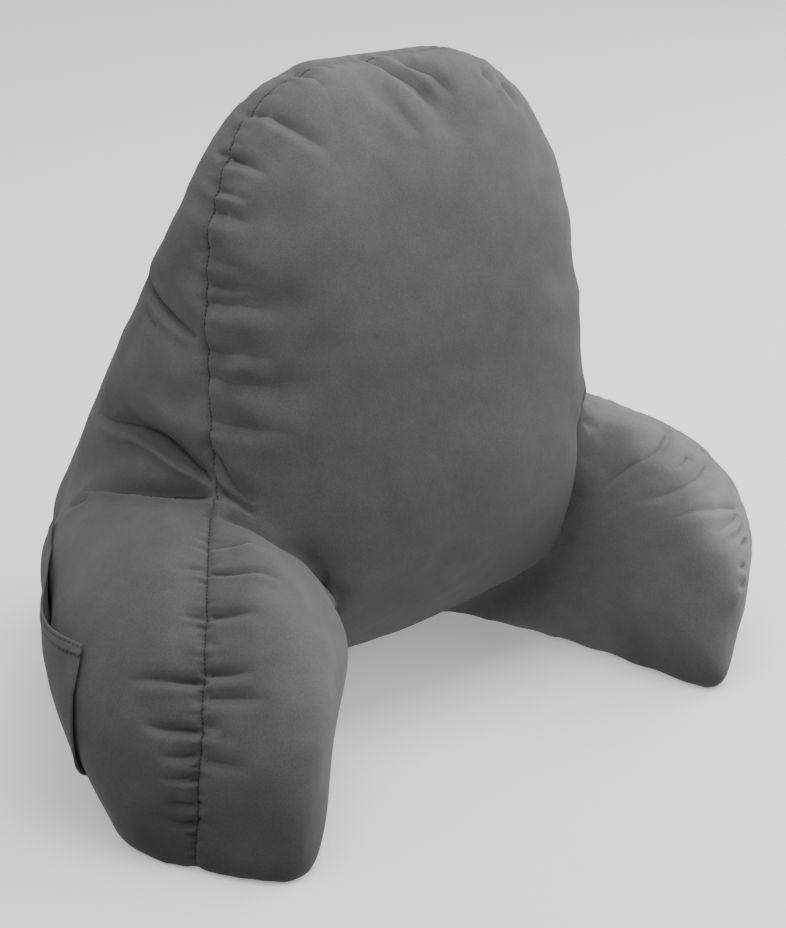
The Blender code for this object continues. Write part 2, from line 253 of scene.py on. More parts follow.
# %% Seam lines
SEAM_STEP = 0.004
FACE_SAMPLES = 240
ARM_SAMPLES = 160
LOWEST_ANGLE = 0.001
ENDS_CUT = 10  # points of the face's seam that its joints with the arms take the place of
LEFT_JOINT = ((-0.180, 0.060, 0.244), (-0.180, 0.057, 0.227), (-0.182, 0.050, 0.211),
              (-0.187, 0.043, 0.205), (-0.193, 0.035, 0.201))
FACE_HALF_WIDTH = 0.178
FACE_WIDEST_HEIGHT = 0.21
FACE_TOP = 0.483
DOME_ROUNDNESS = 3.25
LEAN = 0.24
SWAY = 0.018
ARM_RIDGE_HEIGHT = 0.198
ARM_NOSE_HEIGHT = 0.076
ARM_RIDGE_ROUNDNESS = 1.65
ARM_FORWARD = -0.013
ARMS = (
    {"name": "left", "side": -1, "splay": 40.0, "outset": 0.020, "reach": 0.156, "tuck": -0.006,
     "out": 0.0},
    {"name": "right", "side": 1, "splay": 29.0, "outset": 0.028, "reach": 0.139, "tuck": 0.012,
     "out": 0.047},
)


def even_steps(line, step):
    """The same line with points at even distances."""
    line = np.asarray(line, float)
    length = np.concatenate([[0], np.cumsum(np.linalg.norm(np.diff(line, axis=0), axis=1))])
    along = np.linspace(0, length[-1], max(3, int(length[-1] / step)))
    return np.stack([np.interp(along, length, line[:, axis]) for axis in range(3)], 1)


def face_seam():
    angle = np.linspace(0, math.pi, FACE_SAMPLES)
    spread = np.sign(np.cos(angle)) * np.abs(np.cos(angle)) ** (2 / DOME_ROUNDNESS)
    x = FACE_HALF_WIDTH * spread
    climb = np.sin(angle) ** (2 / DOME_ROUNDNESS)
    z = FACE_WIDEST_HEIGHT + (FACE_TOP - FACE_WIDEST_HEIGHT) * climb
    return np.stack([x + SWAY * (z - FACE_WIDEST_HEIGHT), LEAN * z, z], 1) + np.array(DRAWING_SHIFT)


def arm_seam(arm):
    z = ARM_RIDGE_HEIGHT * np.sin(np.linspace(LOWEST_ANGLE, math.pi / 2, ARM_SAMPLES))
    above = np.clip((z - ARM_NOSE_HEIGHT) / (ARM_RIDGE_HEIGHT - ARM_NOSE_HEIGHT), 0, 1)
    reach = arm["reach"] * (1 - above ** ARM_RIDGE_ROUNDNESS) ** (1 / ARM_RIDGE_ROUNDNESS)
    reach -= arm["tuck"] * np.clip(1 - z / ARM_NOSE_HEIGHT, 0, 1)
    splay = math.radians(arm["splay"])
    ahead, aside = math.cos(splay), math.sin(splay)
    x = arm["side"] * (FACE_HALF_WIDTH + arm["outset"] + reach * aside + arm["out"] * ahead)
    y = LEAN * ARM_RIDGE_HEIGHT + ARM_FORWARD - reach * ahead + arm["out"] * aside
    return np.stack([x, y, z], 1) + np.array(DRAWING_SHIFT)


seams = {"face": even_steps(face_seam(), SEAM_STEP)}
for arm in ARMS:
    seams[arm["name"]] = even_steps(arm_seam(arm), SEAM_STEP)
left_joint = np.array(LEFT_JOINT) + np.array(DRAWING_SHIFT)
free_part = seams["face"][ENDS_CUT:-ENDS_CUT]
to_arms = (seams["right"][-1:], free_part, left_joint, seams["left"][-1:])
seams["face"] = even_steps(np.concatenate(to_arms), SEAM_STEP)
print("seam points", {name: len(line) for name, line in seams.items()})

# %% [markdown]
# ## The stuffed bag
# On the real pillow the fibre pushes the cloth outwards, and the seams hold it back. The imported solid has
# the right form but hard little facets. A voxel remesh gives an even skin, which is faired and stretched
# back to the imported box. A few places are then pushed out or in by some millimetres: the inner side of the
# left arm, the feet of both noses, the right arm's ridge, and the face's lower right edge, which laps over
# the arm beside it. The rim of the base sinks a little, as a soft bag's does.
#
# Cloth with inner pressure swells this skin as the filling does, and drawing the cloth in along the seams
# lets real puckers form there. Only the wrinkles that this makes are kept, up to a cap, so the fitted form
# stays. The flat base is held still.

# %% Swell the bag
VOXEL = 0.0105
FAIR_ROUNDS = 6
BASE_SINK = 0.006
BASE_SINK_HEIGHT = 0.050
FULLER_PLACES = (
    # centre, reach, push outwards and the direction that the pushed cloth faces
    ((-0.145, -0.050, 0.105), 0.055, 0.017, (0.77, -0.63, 0.0)),
    ((-0.125, -0.028, 0.122), 0.036, 0.006, (0.77, -0.63, 0.0)),
    ((-0.262, -0.125, 0.010), 0.045, 0.008, (-0.10, -0.95, -0.2)),
    ((0.215, -0.108, 0.008), 0.040, 0.018, (-0.30, -0.93, -0.2)),
    ((0.246, -0.108, 0.032), 0.040, -0.009, (0.70, -0.71, 0.0)),
    ((0.247, 0.022, 0.181), 0.050, -0.008, (0.40, 0.05, 0.90)),
    ((0.140, 0.000, 0.092), 0.045, 0.014, (0.65, -0.70, -0.3)),
    ((0.142, 0.022, 0.062), 0.032, 0.009, (0.65, -0.70, -0.3)),
)
SWELL_FRAMES = 20
WRINKLE_SPREAD = 30
WRINKLE_CAP = 0.0035
SEAM_REACH = 0.014
SEAM_DRAW = 0.10
LENGTHEN = -0.01
STUFFING_PRESSURE = 4.0
STRETCH_STIFFNESS = 15
SHEAR_STIFFNESS = 5
BEND_STIFFNESS = 0.2
PUSH_SPREAD = 3
BASE_HOLD = 0.003
TINY = 1e-12


def distance_to(points, line, reach):
    """Distance to a line, how far along it the nearest place lies in metres, and that place."""
    best = np.full(len(points), np.inf)
    along = np.zeros(len(points))
    place = np.zeros((len(points), 3))
    low, high = line.min(0) - reach, line.max(0) + reach
    near = np.nonzero(((points > low) & (points < high)).all(1))[0]
    start = 0.0
    for a, b in zip(line, line[1:]):
        span = np.linalg.norm(b - a)
        middle = (a + b) / 2
        close = near[np.linalg.norm(points[near] - middle, axis=1) < reach + span]
        if len(close):
            share = np.clip((points[close] - a) @ (b - a) / max(span * span, TINY), 0, 1)
            foot = a + share[:, None] * (b - a)
            distance = np.linalg.norm(points[close] - foot, axis=1)
            better = distance < best[close]
            chosen = close[better]
            best[chosen] = distance[better]
            along[chosen] = start + share[better] * span
            place[chosen] = foot[better]
        start += span
    return best, along, place


def fill_box(points, low, high):
    """Stretches points to a box again, after the evening out has drawn them in by a few millimetres."""
    small, large = points.min(0), points.max(0)
    return low + (points - small) * (np.array(high) - low) / (large - small)


bag = merged_copy("pillow_body", "stuffed_bag")
skin = bag.modifiers.new("even skin", "REMESH")
skin.mode = "VOXEL"
skin.voxel_size = VOXEL
bake_modifiers(bag)
start = points_of(bag.data)
flat_base = start[:, 2] < BASE_HOLD
start = faired(start, bag.data, FAIR_ROUNDS)
start = fill_box(start, *cad_box)
set_points(bag.data, start)
normals = normals_of(bag.data)
fuller = np.zeros_like(start)
for centre, reach, push, facing in FULLER_PLACES:
    away = np.linalg.norm(start - np.array(centre) - np.array(DRAWING_SHIFT), axis=1)
    near = np.exp(-(away / reach) ** 2)
    fuller += (near * np.clip(normals @ facing, 0, 1))[:, None] * push * np.array(facing)
start = start + smoothed(fuller, bag.data, PUSH_SPREAD)
start[:, 2] -= BASE_SINK * np.clip(1 - start[:, 2] / BASE_SINK_HEIGHT, 0, 1)
start[flat_base, 2] = 0
start[:, 2] = np.maximum(start[:, 2], 0)
set_points(bag.data, start)

hold = bag.vertex_groups.new(name="base")
hold.add([int(k) for k in np.nonzero(flat_base)[0]], 1.0, "REPLACE")
draw = bag.vertex_groups.new(name="seams")
for line in seams.values():
    distance = distance_to(start, line, SEAM_REACH)[0]
    for k in np.nonzero(distance < SEAM_REACH)[0]:
        draw.add([int(k)], float(1 - distance[k] / SEAM_REACH), "REPLACE")

cloth = bag.modifiers.new("stuffing", "CLOTH")
cloth.settings.vertex_group_mass = "base"
cloth.settings.pin_stiffness = 1.0
cloth.settings.vertex_group_shrink = "seams"
cloth.settings.shrink_min = LENGTHEN
cloth.settings.shrink_max = SEAM_DRAW
cloth.settings.use_pressure = True
cloth.settings.uniform_pressure_force = STUFFING_PRESSURE
cloth.settings.tension_stiffness = STRETCH_STIFFNESS
cloth.settings.compression_stiffness = STRETCH_STIFFNESS
cloth.settings.shear_stiffness = SHEAR_STIFFNESS
cloth.settings.bending_stiffness = BEND_STIFFNESS
cloth.settings.effector_weights.gravity = 0
for number in range(1, SWELL_FRAMES + 1):
    scene.frame_set(number)
bake_modifiers(bag)
scene.frame_set(1)
moved = points_of(bag.data) - start
moved -= smoothed(moved, bag.data, WRINKLE_SPREAD)
moved[flat_base] = 0
length = np.linalg.norm(moved, axis=1, keepdims=True)
moved *= np.minimum(1, WRINKLE_CAP / np.maximum(length, TINY))
print("wrinkles", round(float(np.sqrt((length ** 2).mean())) / MM, 2), "mm on average,",
      round(float(length.max()) / MM, 1), "mm before the cap")
start = start + moved
set_points(bag.data, start)
bag.vertex_groups.clear()
print("bag quads", len(bag.data.polygons))

# %% [markdown]
# ## Where the folds lie
# A stuffed bag folds where its cloth is short: at the ends of tight seams, over the arms' bends, and where
# the arms leave the body. The larger folds are listed one by one, each with its kind, depth, width and path,
# as they lie on the real pillow. A fold that starts at a seam is tied to the nearest point of it.

# %% Folds
# Kind, depth and width in millimetres, and path from the start of the fold to its end. "seam": pulled from
# a seam, so strongest near its start. "free": fades at both ends. "lap": the cloth above hangs over it. The
# other two are the creases where an arm and the face press together, and one laps over the other.
FOLDS = (
    ("arm over face", 7.0, 3.0, ((-0.197, 0.027, 0.199), (-0.181, 0.010, 0.195), (-0.163, -0.003, 0.180),
                                 (-0.148, -0.006, 0.170), (-0.136, -0.009, 0.158), (-0.126, -0.010, 0.146),
                                 (-0.115, -0.006, 0.132), (-0.100, 0.000, 0.115))),
    ("face over arm", 6.0, 3.4, ((0.162, 0.020, 0.222), (0.154, 0.008, 0.205), (0.150, 0.006, 0.190),
                                 (0.148, 0.006, 0.160), (0.148, 0.009, 0.133), (0.150, 0.018, 0.104))),
    ("seam", 5.0, 4.5, ((-0.116, 0.099, 0.467), (-0.098, 0.080, 0.454), (-0.080, 0.061, 0.440))),
    ("seam", 4.5, 3.5, ((-0.142, 0.097, 0.440), (-0.129, 0.067, 0.429))),
    ("seam", 3.0, 4.0, ((-0.154, 0.095, 0.417), (-0.146, 0.068, 0.413))),
    ("seam", 4.0, 5.5, ((-0.160, 0.096, 0.404), (-0.146, 0.061, 0.398))),
    ("seam", 2.0, 5.0, ((-0.168, 0.089, 0.373), (-0.157, 0.055, 0.369))),
    ("seam", 2.6, 6.0, ((-0.172, 0.083, 0.350), (-0.155, 0.047, 0.353))),
    ("seam", 2.6, 6.0, ((-0.174, 0.071, 0.342), (-0.135, 0.033, 0.338))),
    ("seam", 2.4, 6.0, ((-0.177, 0.074, 0.310), (-0.148, 0.029, 0.307))),
    ("seam", 2.2, 6.0, ((-0.179, 0.062, 0.289), (-0.140, 0.020, 0.287))),
    ("seam", 2.2, 6.0, ((-0.180, 0.056, 0.259), (-0.139, 0.012, 0.255))),
    ("seam", 6.5, 5.5, ((-0.179, 0.057, 0.233), (-0.172, 0.016, 0.201))),
    ("seam", 6.0, 3.4, ((-0.181, 0.050, 0.213), (-0.176, 0.030, 0.202), (-0.170, 0.006, 0.191))),
    ("seam", 3.0, 4.5, ((-0.066, 0.116, 0.487), (-0.064, 0.085, 0.479))),
    ("seam", 4.5, 4.5, ((-0.002, 0.114, 0.492), (0.009, 0.087, 0.484), (0.033, 0.065, 0.454))),
    ("seam", 4.0, 4.5, ((0.024, 0.099, 0.491), (0.052, 0.070, 0.461))),
    ("free", 1.5, 6.0, ((-0.008, 0.072, 0.465), (0.004, 0.058, 0.440))),
    ("seam", 2.5, 4.0, ((0.089, 0.082, 0.473), (0.094, 0.075, 0.462))),
    ("seam", 2.5, 4.0, ((0.108, 0.079, 0.463), (0.117, 0.068, 0.442))),
    ("free", 5.0, 2.8, ((-0.170, 0.165, 0.337), (-0.176, 0.146, 0.330), (-0.179, 0.083, 0.311))),
    ("lap", 9.0, 3.6, ((-0.182, 0.052, 0.211), (-0.182, 0.066, 0.215), (-0.182, 0.090, 0.220),
                       (-0.183, 0.116, 0.223), (-0.183, 0.144, 0.223), (-0.179, 0.174, 0.217),
                       (-0.174, 0.201, 0.215))),
    ("lap", 8.0, 3.6, ((-0.187, 0.047, 0.204), (-0.191, 0.064, 0.201), (-0.198, 0.096, 0.192),
                       (-0.200, 0.133, 0.182), (-0.201, 0.160, 0.173), (-0.199, 0.183, 0.162))),
    ("free", 3.0, 5.0, ((-0.206, 0.160, 0.167), (-0.210, 0.184, 0.152))),
    ("free", 2.0, 3.5, ((-0.180, 0.147, 0.314), (-0.186, 0.122, 0.309))),
    ("seam", 3.0, 3.0, ((-0.142, 0.098, 0.439), (-0.142, 0.112, 0.438))),
    ("seam", 3.0, 3.0, ((-0.116, 0.099, 0.467), (-0.119, 0.113, 0.465))),
    ("seam", 2.5, 3.0, ((-0.071, 0.103, 0.487), (-0.062, 0.120, 0.487))),
    ("seam", 2.5, 4.0, ((-0.216, 0.004, 0.192), (-0.178, -0.016, 0.182))),
    ("seam", 3.5, 3.0, ((-0.232, -0.012, 0.183), (-0.194, -0.046, 0.174))),
    ("seam", 4.0, 3.5, ((-0.255, -0.035, 0.164), (-0.230, -0.062, 0.166))),
    ("seam", 2.5, 3.5, ((-0.268, -0.048, 0.150), (-0.261, -0.059, 0.150))),
    ("seam", 5.0, 3.8, ((-0.279, -0.059, 0.135), (-0.253, -0.089, 0.139))),
    ("seam", 3.0, 4.0, ((-0.286, -0.069, 0.120), (-0.254, -0.106, 0.126))),
    ("seam", 3.0, 3.5, ((-0.294, -0.075, 0.103), (-0.282, -0.090, 0.106))),
    ("seam", 2.5, 3.5, ((-0.297, -0.083, 0.082), (-0.275, -0.113, 0.085))),
    ("seam", 1.8, 3.0, ((-0.232, -0.011, 0.183), (-0.255, 0.007, 0.178))),
    ("seam", 2.5, 3.0, ((-0.256, -0.036, 0.163), (-0.268, -0.024, 0.161))),
    ("seam", 5.5, 3.5, ((-0.281, -0.060, 0.132), (-0.312, -0.024, 0.123))),
    ("seam", 4.5, 3.0, ((-0.297, -0.076, 0.101), (-0.311, -0.056, 0.100), (-0.317, -0.046, 0.101))),
    ("seam", 3.5, 3.0, ((-0.300, -0.080, 0.085), (-0.307, -0.071, 0.083), (-0.314, -0.061, 0.083))),
    ("seam", 3.0, 2.6, ((-0.301, -0.082, 0.069), (-0.308, -0.073, 0.068), (-0.315, -0.063, 0.068))),
    ("seam", 3.5, 2.8, ((-0.302, -0.084, 0.048), (-0.309, -0.075, 0.048), (-0.314, -0.068, 0.049))),
    ("seam", 3.0, 2.6, ((-0.303, -0.085, 0.035), (-0.308, -0.078, 0.034), (-0.313, -0.070, 0.036))),
    ("seam", 4.0, 3.6, ((0.242, -0.009, 0.179), (0.205, -0.032, 0.180), (0.190, -0.031, 0.175),
                        (0.177, -0.021, 0.163), (0.165, -0.008, 0.142))),
    ("seam", 3.5, 3.2, ((0.235, -0.040, 0.170), (0.213, -0.052, 0.171), (0.196, -0.053, 0.170))),
    ("seam", 3.6, 3.6, ((0.259, -0.040, 0.156), (0.219, -0.064, 0.162), (0.198, -0.067, 0.161),
                        (0.184, -0.059, 0.153), (0.172, -0.037, 0.142))),
    ("seam", 3.4, 3.4, ((0.268, -0.067, 0.124), (0.213, -0.087, 0.145), (0.192, -0.082, 0.146),
                        (0.181, -0.071, 0.138))),
    ("seam", 3.0, 3.2, ((0.255, -0.080, 0.125), (0.218, -0.098, 0.132), (0.200, -0.100, 0.130))),
    ("seam", 3.0, 3.0, ((0.262, -0.082, 0.115), (0.231, -0.100, 0.121), (0.211, -0.106, 0.125))),
    ("seam", 2.6, 2.8, ((0.254, -0.093, 0.108), (0.228, -0.105, 0.116))),
    ("seam", 2.6, 2.8, ((0.231, -0.113, 0.100), (0.217, -0.116, 0.104))),
    ("seam", 2.2, 2.8, ((0.226, -0.119, 0.088), (0.214, -0.121, 0.089))),
    ("free", 2.5, 4.0, ((0.148, 0.005, 0.214), (0.175, 0.022, 0.206), (0.204, 0.039, 0.198))),
    ("free", 1.8, 4.0, ((0.154, 0.006, 0.202), (0.180, 0.010, 0.190))),
)
DEEPER = 1.2
FOLD_STEP = 0.006
PULL_TO_SEAM = 0.016
fold_lines = []
ends = np.concatenate(list(seams.values()))
for kind, deep, wide, path in FOLDS:
    line = np.array(path) + np.array(DRAWING_SHIFT)
    if kind == "seam":
        nearest = ends[np.linalg.norm(ends - line[0], axis=1).argmin()]
        if np.linalg.norm(nearest - line[0]) < PULL_TO_SEAM:
            line[0] = nearest
    fold_lines.append(even_steps(line, FOLD_STEP))
print("folds", len(fold_lines))

# %% [markdown]
# ## Finer cloth where it is sewn
# The broad panels are smooth, but the gathers beside the seams are only a few millimetres wide. The whole
# skin is subdivided once, and then only the faces near the seams and folds are cut twice more, which keeps
# the mesh light.

# %% Cut the skin finer near the seams and folds
FINE_REACH = 0.014
FINEST_REACH = 0.0060
CUT_SPREAD = 2
bag.modifiers.new("finer", "SUBSURF").levels = 1
bag.modifiers["finer"].render_levels = 1
bake_modifiers(bag)


def lay_on(line, tree):
    """Brings a line's points onto the surface."""
    return np.array([tree.find_nearest(Vector(point))[0] for point in line])


def surface_tree(piece):
    graph = bpy.context.evaluated_depsgraph_get()
    return BVHTree.FromObject(piece, graph)


def cut_finer(piece, lines, reach):
    """Cuts every face near the lines into four."""
    points = points_of(piece.data)
    near = np.zeros(len(points), bool)
    for line in lines:
        near |= distance_to(points, line, reach)[0] < reach
    work = bmesh.new()
    work.from_mesh(piece.data)
    work.verts.ensure_lookup_table()
    chosen = [edge for edge in work.edges if near[edge.verts[0].index] and near[edge.verts[1].index]]
    bmesh.ops.subdivide_edges(work, edges=chosen, cuts=1, use_grid_fill=True)
    bmesh.ops.triangulate(work, faces=[face for face in work.faces if len(face.verts) > 4])
    work.to_mesh(piece.data)
    work.free()
    set_points(piece.data, smoothed(points_of(piece.data), piece.data, CUT_SPREAD))


bag_tree = surface_tree(bag)
seams = {name: lay_on(line, bag_tree) for name, line in seams.items()}
fold_lines = [lay_on(line, bag_tree) for line in fold_lines]
all_lines = list(seams.values()) + fold_lines
cut_finer(bag, all_lines, FINE_REACH)
cut_finer(bag, all_lines, FINEST_REACH)
print("bag triangles", sum(len(face.vertices) - 2 for face in bag.data.polygons))

# %% [markdown]
# ## Seams, gathers and folds
# A sewn seam is a narrow valley, because the cloth turns inwards to its allowance. Where the seam is eased
# or drawn up, the cloth next to it gathers: sharp little valleys with round ridges between them, deep at the
# seam and gone a few centimetres away. The folds of the table above are pressed along their lines, each with
# a soft roll beside it. Where folds cross, the deeper one counts and they don't add up, as cloth can't be
# pressed twice. All of it moves points along the surface's own direction. The stitches and the shadow deep
# in a fold are finer than the mesh, so they are painted into the colour: each line's distance and darkness
# are noted, for stitch dashes along the seams, painted shade in the seams' valleys and painted shade in the
# folds' creases.

# %% Press the seams, gathers and folds
GATHERS = (
    # seam, side of the seam, mean pitch, depth and reach in millimetres, share of the seam that stays calm
    ("face", "inside", 13.0, 1.5, 22.0, 0.45),
    ("face", "outside", 14.0, 1.0, 11.0, 0.45),
    ("face", "inside", 7.0, 0.7, 7.0, 0.0),
    ("left", "inside", 12.0, 1.7, 20.0, 0.0),
    ("left", "outside", 11.0, 1.7, 15.0, 0.0),
    ("left", "inside", 7.0, 1.5, 10.0, 0.0),
    ("left", "outside", 7.0, 1.9, 13.0, 0.0),
    ("right", "inside", 13.0, 1.7, 24.0, 0.0),
    ("right", "outside", 12.0, 1.4, 12.0, 0.0),
)
SEAM_CUT = 2.0
SEAM_CUT_WIDTH = 1.8
SEAM_PUFF = 0.5
PUFF_PLACE = 7
PUFF_WIDTH = 4
SEAM_NEARBY = 0.06
NOISE_WAVES = 4
NOISE_LENGTHS = (0.7, 2.2)
NOISE_SCALE = 2.8
GATHER_DRIFT, DRIFT_PITCH = 0.35, 0.05
VALLEY_SHARPNESS = 0.8
STRENGTH_PITCH, REACH_PITCH = 0.03, 0.024
CALM_STRENGTH = 0.2
LINE_REACH = 0.0025
# The seams' dark line is partly stitch dashes and partly painted shade in the seam's valley. The folds get
# painted shade in their creases, darkest in the pressed joins of arm and face, and fuller for deeper folds.
SEAM_STITCHES_AND_SHADE = 0.70
FOLD_PAINTED_SHADE = {"seam": 0.42, "free": 0.30, "lap": 0.60, "arm over face": 0.75, "face over arm": 0.75}
FULL_SHADE_DEPTH = 0.005
FOLD_LINE_WIDTH = {"seam": 2.2, "free": 2.5, "lap": 1.6, "arm over face": 1.2, "face over arm": 1.2}
PRESSED_JOINS = ("arm over face", "face over arm")
FACE_MIDDLE = np.array([0, -0.35, 0.21])
STEEP_SIDE, JOIN_WIDE_SIDE, LAP_WIDE_SIDE = 0.8, 2.2, 2.0
START_STRENGTH, START_RISE = 0.45, 5
FOLD_ROLL = 0.55
ROLL_PLACE, ROLL_WIDTH, LEAST_ROLL = 2.1, 1.3, 0.15
CREASE_SHARPNESS = 1.4
random = np.random.default_rng(7)


def slow_noise(along, pitch):
    """Smooth wandering between about -1 and 1 along a line."""
    total = np.zeros_like(along)
    for _ in range(NOISE_WAVES):
        length = pitch * random.uniform(*NOISE_LENGTHS)
        total += np.sin(2 * math.pi * (along / length + random.uniform()))
    return total / NOISE_SCALE


def gather_height(along, distance, pitch, deep, reach, calm):
    """Sharp valleys across the seam's line that die out away from it."""
    drift = slow_noise(along, DRIFT_PITCH) * GATHER_DRIFT
    valley = 1 - np.abs(np.sin(math.pi * (along / pitch + drift))) ** VALLEY_SHARPNESS
    strength = np.clip(0.7 + 0.6 * slow_noise(along, STRENGTH_PITCH), 0.15, 1.4)
    strength *= np.clip((along / along.max() - calm) * 8 + 1, CALM_STRENGTH, 1)
    length = reach * np.clip(0.75 + 0.4 * slow_noise(along, REACH_PITCH), 0.3, 1.4)
    return -deep * strength * valley * np.exp(-(distance / length) ** 2)


def mark_line(points, line, distance, along, place, dark, line_width=1.0):
    """Notes a line's signed distance and darkness beside it: stitch marks, and painted shade in its crease.
    """
    tangent = np.gradient(line, axis=0)
    length = np.concatenate([[0], np.cumsum(np.linalg.norm(np.diff(line, axis=0), axis=1))])
    tangent = np.stack([np.interp(along, length, tangent[:, axis]) for axis in range(3)], 1)
    side = np.sign((np.cross(tangent, normals) * (points - place)).sum(1))
    middle = (along > MM) & (along < length[-1] - MM)
    weight = dark * middle * np.clip(2 - distance / LINE_REACH, 0, 1)
    stronger = weight > stitches_and_painted_shade
    stitches_and_painted_shade[stronger] = weight[stronger]
    line_side[stronger] = (side * np.minimum(distance, 2 * LINE_REACH) / MM)[stronger] / line_width
    line_along[stronger] = along[stronger] / MM * (line_width == 1)


def fold_height(points, line, kind, deep, wide):
    """A sharp valley along the line, and a soft roll beside it that is fuller on the lower side.

    A lap's valley is steep below, and a pressed join's on the side that laps over the other.
    """
    distance, along, place = distance_to(points, line, 4 * wide)
    share = along / np.linalg.norm(np.diff(line, axis=0), axis=1).sum()
    rolled = FOLD_ROLL
    spread = np.full(len(points), wide)
    start = np.clip(START_STRENGTH + START_RISE * share, 0, 1)
    if kind == "seam":
        fade = np.clip(1 - share ** 2, 0, 1) * start
    elif kind == "lap":
        fade = np.clip(1 - share ** 4, 0, 1) * start
        under = points[:, 2] < place[:, 2]
        spread = np.where(under, STEEP_SIDE * wide, LAP_WIDE_SIDE * wide)
    elif kind in PRESSED_JOINS:
        fade = np.clip(14 * share, 0, 1) * np.clip(8 * (1 - share), 0, 1)
        to_arm = np.array([math.copysign(0.8, line[0, 0]), -0.4, -0.4])
        over = ((points - place) @ to_arm > 0) == (kind == "arm over face")
        spread = np.where(over, STEEP_SIDE * wide, JOIN_WIDE_SIDE * wide)
        rolled = 0
    else:
        fade = np.clip(np.sin(math.pi * share), 0, 1) ** 0.6
    trough = np.exp(-(distance / spread) ** CREASE_SHARPNESS)
    below = np.clip(0.5 - (points[:, 2] - place[:, 2]) / (2 * wide), LEAST_ROLL, 1)
    roll = rolled * below * np.exp(-((distance - ROLL_PLACE * wide) / (ROLL_WIDTH * wide)) ** 2)
    far = ~np.isfinite(distance)
    trough[far], roll[far] = 0, 0
    # Painted shade in the fold's crease, fuller for deeper folds.
    dark = FOLD_PAINTED_SHADE[kind] * fade * min(1, deep / FULL_SHADE_DEPTH)
    mark_line(points, line, distance, along, place, dark, FOLD_LINE_WIDTH[kind])
    return deep * fade * trough, deep * fade * roll


def inside_of(name, points, place):
    """True on the face's side of its seam, and on an arm's inner side of its seam."""
    offset = points - place
    if name == "face":
        inward = FACE_MIDDLE - place
        return (offset * inward).sum(1) > 0
    side = -1 if name == "left" else 1
    splay = math.radians(next(arm["splay"] for arm in ARMS if arm["name"] == name))
    across = np.array([side * math.cos(splay), math.sin(splay), 0])
    return offset @ across < 0


points, normals = points_of(bag.data), normals_of(bag.data)
height = np.zeros(len(points))
line_side = np.full(len(points), 2 * LINE_REACH / MM)
stitches_and_painted_shade = np.zeros(len(points))
line_along = np.zeros(len(points))
for name, line in seams.items():
    distance, along, place = distance_to(points, line, SEAM_NEARBY)
    close = np.isfinite(distance)
    mark_line(points, line, distance, along, place, SEAM_STITCHES_AND_SHADE)
    inner = inside_of(name, points, place)
    for seam, side, pitch, deep, reach, calm in GATHERS:
        if seam == name:
            chosen = close & (inner if side == "inside" else ~inner)
            height[chosen] += gather_height(along[chosen], distance[chosen], pitch * MM, deep * MM,
                                            reach * MM, calm)
    groove = SEAM_CUT * MM * np.exp(-(distance[close] / (SEAM_CUT_WIDTH * MM)) ** 2)
    puff = SEAM_PUFF * MM * np.exp(-((distance[close] - PUFF_PLACE * MM) / (PUFF_WIDTH * MM)) ** 2)
    height[close] += puff - groove
dip = np.zeros(len(points))
rise = np.zeros(len(points))
for (kind, deep, wide, path), line in zip(FOLDS, fold_lines):
    trough, roll = fold_height(points, line, kind, deep * DEEPER * MM, wide * MM)
    dip = np.maximum(dip, trough)
    rise = np.maximum(rise, roll)
height += rise * np.clip(1 - dip / MM, 0, 1) - dip
points = points + normals * height[:, None]
points[:, 2] = np.maximum(points[:, 2], 0)
set_points(bag.data, points)
bag.data.shade_smooth()
print("deepest fold", round(float(-height.min()) / MM, 1), "mm")

# %% [markdown]
# ## How the nap lies
# Some panels are painted paler or darker in place of the light and shade that falls on them. The right
# arm's inner panel and the crown of the back are painted pale, as lit. The face, the outer side of the left
# arm and the feet, which are pressed against the floor, are painted darker, as shaded. A value at each point
# says how pale the cloth is painted there, with soft changes between the panels.
# pale the cloth is there, with soft changes between the panels.

# %% How the nap lies
# Painted light (above 0) and painted shade (below 0) for each region of the cloth.
PANEL_LIGHT_AND_SHADE = {
    "right arm": 0.60, "feet": -0.40, "crown": 0.18, "face": -0.18, "left side": 0.16, "left arm side": -0.12,
}
ROOT_LEAN = (0.35, 0.25)
ROOT_PAINTED_LIGHT, TIP_PAINTED_LIGHT = 0.35, 0.65
LOW_PAINTED_LIGHT = 0.35


def rising(values, low, high):
    """0 below low, 1 above high, and a soft rise between."""
    share = np.clip((values - low) / (high - low), 0, 1)
    return share * share * (3 - 2 * share)


def painted_light_and_shade_of(points):
    """How pale the cloth is painted at each point, as painted light and shade. The numbers below are places
    in metres.
    """
    x, y, z = (points - np.array(DRAWING_SHIFT)).T
    shares = {}
    root = rising(x - ROOT_LEAN[0] * y - ROOT_LEAN[1] * z, 0.110, 0.135)
    right_arm = root * rising(-z, -0.225, -0.205) * rising(-y, -0.10, -0.05)
    right_arm *= ROOT_PAINTED_LIGHT + TIP_PAINTED_LIGHT * rising(x, 0.13, 0.25)
    right_arm *= 1 + LOW_PAINTED_LIGHT * (1 - rising(z, 0.12, 0.18))
    shares["right arm"] = right_arm
    shares["feet"] = rising(-y, 0.01, 0.06) * (1 - rising(z, 0.0, 0.075))
    shares["crown"] = rising(z, 0.38, 0.48)
    face = rising(-y, -0.10, 0.0) * rising(z, 0.12, 0.24) * (1 - rising(z, 0.34, 0.46))
    shares["face"] = face * (1 - right_arm)
    left_side = (1 - rising(x, -0.19, -0.17)) * rising(z, 0.21, 0.26)
    shares["left side"] = left_side * (1 - rising(z, 0.34, 0.42))
    shares["left arm side"] = (1 - rising(x, -0.31, -0.28)) * (1 - rising(z, 0.14, 0.18))
    return np.prod([1 + PANEL_LIGHT_AND_SHADE[name] * share for name, share in shares.items()], axis=0)


painted_light_and_shade = painted_light_and_shade_of(points)
marks = {"line_side": line_side, "stitches_and_painted_shade": stitches_and_painted_shade, "line_along": line_along, "painted_light_and_shade": painted_light_and_shade}
for name, values in marks.items():
    bag.data.attributes.new(name, "FLOAT", "POINT").data.foreach_set("value", values)
print("nap from", round(float(painted_light_and_shade.min()), 2), "to", round(float(painted_light_and_shade.max()), 2))
